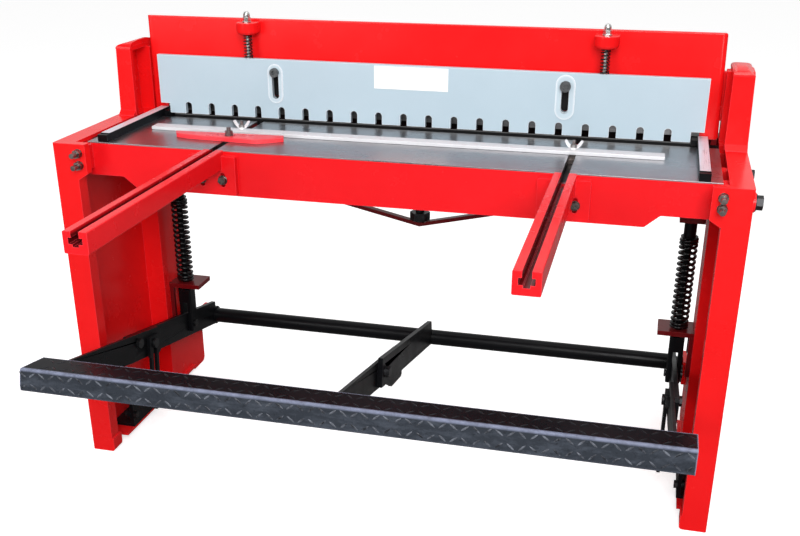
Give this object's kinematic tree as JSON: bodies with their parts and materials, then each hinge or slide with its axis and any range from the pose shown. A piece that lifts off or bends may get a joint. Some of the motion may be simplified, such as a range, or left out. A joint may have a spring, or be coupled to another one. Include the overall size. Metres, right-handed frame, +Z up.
{
  "type": "foot-operated guillotine shear",
  "caption": "Treadle shear for sheet metal: a table between two side frames, a raked blade beam on guides, a sprung hold-down plate, stops and a treadle that pulls the beam down.",
  "frame": {"origin": "on the floor, in the middle of the overall box", "axes": "+X to the operator's right along the table, +Y away from the operator, +Z up"},
  "size_m": [1.5666, 1.164, 1.064],
  "materials": {
    "red_paint": "gloss",
    "dark_red_paint": "semi-gloss",
    "grey_paint": "semi-gloss",
    "black_paint": "semi-gloss",
    "tread_steel": "semi-gloss",
    "ground_steel": "ground",
    "tool_steel": "ground",
    "bright_bar": "ground",
    "zinc": "satin",
    "black_bolt": "black oxide",
    "spring_black": "semi-gloss",
    "spring_bright": "drawn",
    "white_plate": "matt"
  },
  "bodies": {
    "frame": {"side_frame_left": "red_paint", "side_frame_right": "red_paint", "frame_posts": "red_paint", "table_plate": "ground_steel", "tee_slot_channels": "black_paint", "table_apron": "red_paint", "table_ribs": "red_paint", "rear_bed": "red_paint", "lower_blade": "tool_steel", "lower_blade_screws": "black_bolt", "table_ear_bolts": "black_bolt", "side_clamp_bolt": "black_bolt", "side_lug_bolts": "black_bolt", "truss_bar": "dark_red_paint", "truss_screw": "black_bolt", "front_arm_left": "red_paint", "front_arm_right": "red_paint", "arm_bolts": "black_bolt", "side_gauges": "black_paint", "side_gauge_screws": "black_bolt", "spring_seats": "dark_red_paint", "tube_bearings": "red_paint", "foot_brackets": "black_paint", "bracket_bolts": "black_bolt", "foot_studs": "black_bolt", "guide_rails": "tool_steel", "return_springs": "spring_black"},
    "beam": {"blade_beam": "red_paint", "beam_ribs": "red_paint", "upper_blade": "tool_steel", "upper_blade_screws": "black_bolt", "rod_lugs": "red_paint", "hold_down_bolts": "black_bolt", "drop_brackets": "dark_red_paint", "drop_bracket_bolts": "black_bolt", "pull_rods": "black_paint", "spring_sleeves": "black_paint", "rod_clevises": "black_paint", "hold_down_springs": "spring_bright"},
    "hold_down": {"hold_down_plate": "grey_paint", "blank_plate": "white_plate", "hold_down_rods": "zinc", "cap_nuts": "zinc"},
    "treadle": {"torque_tube": "black_paint", "lever_stubs": "black_paint", "side_arms": "black_paint", "centre_arm_rear": "black_paint", "centre_arm_front": "black_paint", "arm_joint_bolts": "black_bolt", "treadle_bar": "tread_steel", "clevis_pins": "black_bolt", "link_pins": "black_bolt"},
    "stop_link_left": {"stop_link_left": "black_paint"},
    "stop_link_right": {"stop_link_right": "black_paint"},
    "front_stop": {"stop_bar": "bright_bar", "stop_bar_bolts": "zinc"},
    "wing_nut_left": {"wing_nut_left": "zinc"},
    "wing_nut_right": {"wing_nut_right": "zinc"},
    "gauge_carriage": {"gauge_bolt": "zinc"},
    "angle_gauge": {"angle_gauge": "red_paint"}
  },
  "joints": [
    {"name": "beam_slide", "type": "slide", "parent": "frame", "child": "beam", "axis": [0, 0, 1], "range_m": [-0.0377, 0], "stiffness_N_per_m": 24000, "springref_m": 0.075, "deforming": ["return_springs"]},
    {"name": "hold_down_slide", "type": "slide", "parent": "beam", "child": "hold_down", "axis": [0, 0, 1], "range_m": [0, 0.03], "stiffness_N_per_m": 1500, "springref_m": -0.02, "deforming": ["hold_down_springs"]},
    {"name": "treadle_pivot", "type": "hinge", "parent": "frame", "child": "treadle", "pos_m": [-0.0047, 0.55, 0.146], "axis": [1, 0, 0], "range_deg": [0, 12.01]},
    {"name": "stop_link_left_pivot", "type": "hinge", "parent": "frame", "child": "stop_link_left", "pos_m": [-0.6587, 0.102, 0.081], "axis": [1, 0, 0], "range_deg": [0, 1.9]},
    {"name": "stop_link_right_pivot", "type": "hinge", "parent": "frame", "child": "stop_link_right", "pos_m": [0.6493, 0.102, 0.081], "axis": [1, 0, 0], "range_deg": [0, 1.9]},
    {"name": "front_stop_slide", "type": "slide", "parent": "frame", "child": "front_stop", "axis": [0, 1, 0], "range_m": [0, 0.07]},
    {"name": "wing_nut_left_turn", "type": "hinge", "parent": "front_stop", "child": "wing_nut_left", "pos_m": [-0.4027, 0.19, 0.82], "axis": [0, 0, 1], "continuous": true},
    {"name": "wing_nut_right_turn", "type": "hinge", "parent": "front_stop", "child": "wing_nut_right", "pos_m": [0.3883, 0.19, 0.82], "axis": [0, 0, 1], "continuous": true},
    {"name": "gauge_slide", "type": "slide", "parent": "frame", "child": "gauge_carriage", "axis": [0, 1, 0], "range_m": [-0.4, 0]},
    {"name": "gauge_turn", "type": "hinge", "parent": "gauge_carriage", "child": "angle_gauge", "pos_m": [-0.4027, 0.109, 0.805], "axis": [0, 0, 1], "range_deg": [-8, 8]}
  ],
  "couplings": [
    {"joint": "treadle_pivot", "follows": "beam_slide", "rad_per_m": -5.5573},
    {"joint": "hold_down_slide", "follows": "beam_slide", "ratio": -0.79536},
    {"joint": "stop_link_left_pivot", "follows": "beam_slide", "rad_per_m": -0.87917},
    {"joint": "stop_link_right_pivot", "follows": "beam_slide", "rad_per_m": -0.87917}
  ]
}
